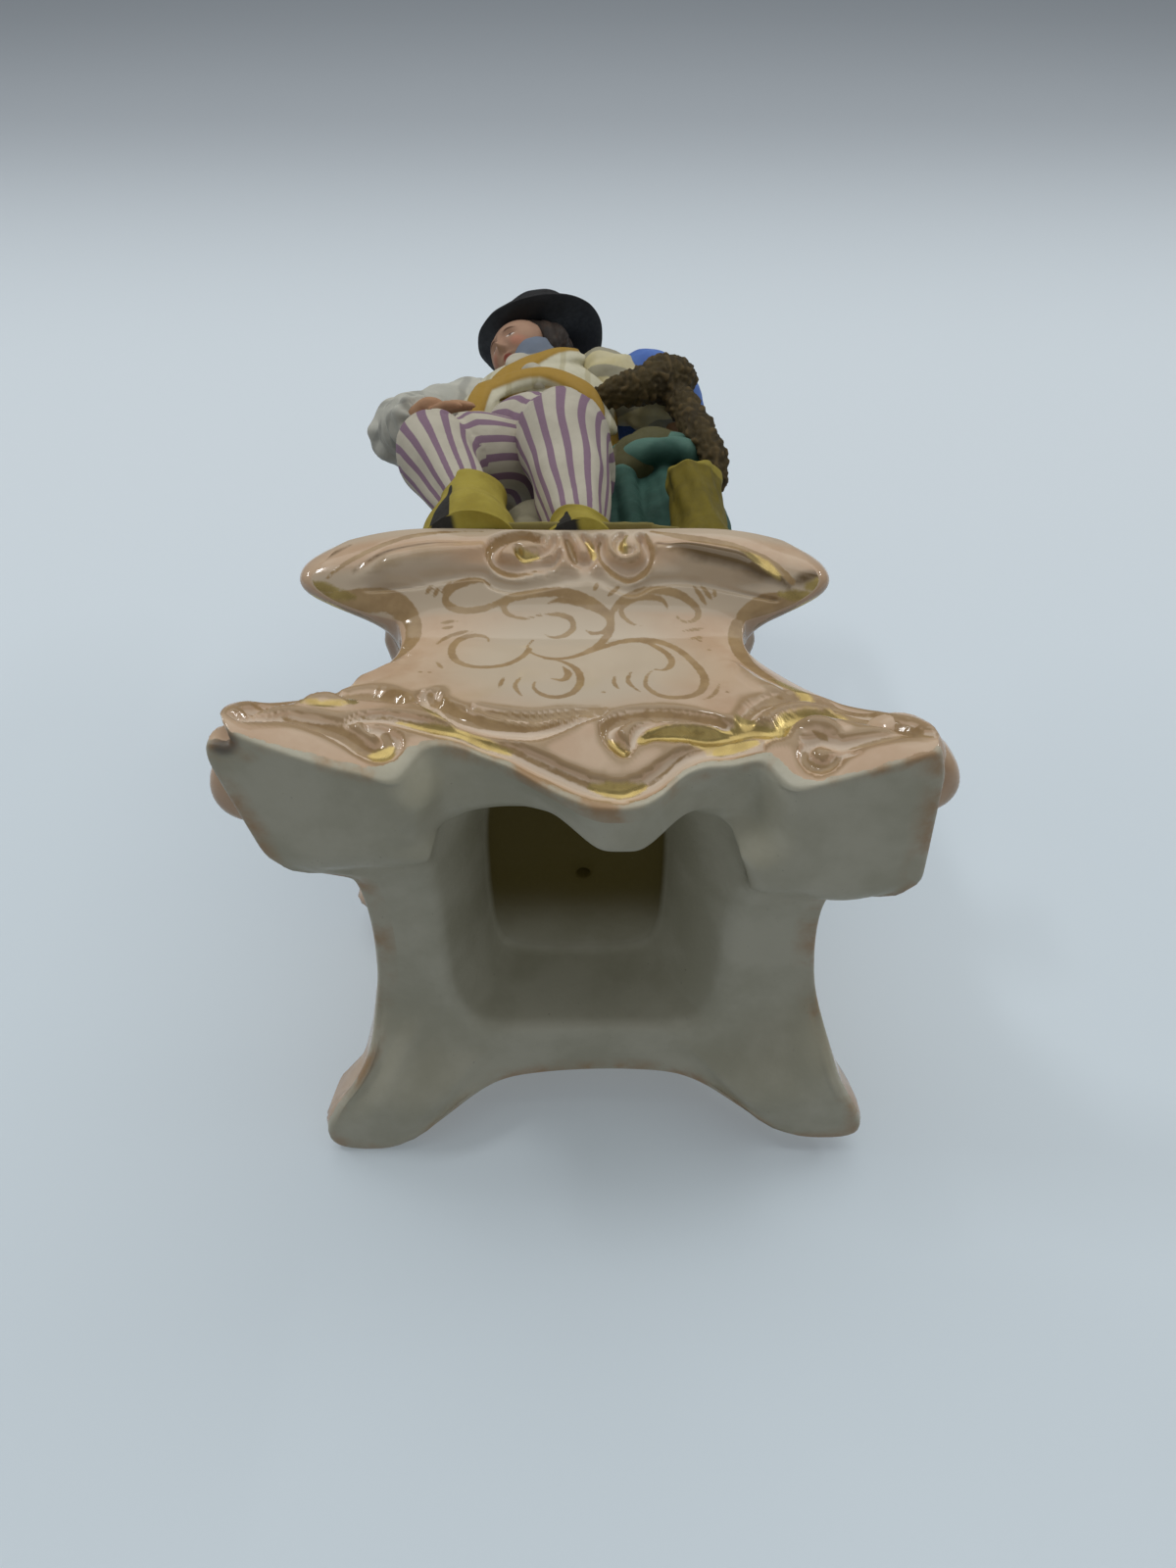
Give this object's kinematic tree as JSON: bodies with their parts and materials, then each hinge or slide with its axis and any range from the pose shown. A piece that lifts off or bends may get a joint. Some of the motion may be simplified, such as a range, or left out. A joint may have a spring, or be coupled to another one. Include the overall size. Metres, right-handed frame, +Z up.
{
  "type": "figurine",
  "caption": "Painted bisque figurine of a seated gentleman in a broad hat, on a glazed rocaille plinth with scrolled feet, open below.",
  "frame": {"origin": "on the surface it stands on, under the middle of its outline", "axes": "+Z up from the feet to the hat, -Y the front, +X to the right of someone who looks at the front"},
  "size_m": [0.1064, 0.0955, 0.1947],
  "materials": {
    "plinth": "clear glaze over a peach-pink ground and a cream panel, gilded and brown painted scrollwork, bare biscuit below",
    "figure": "matte unglazed bisque, painted in mineral colours"
  },
  "bodies": {
    "root": {"plinth": "plinth", "figure": "figure"}
  },
  "joints": []
}
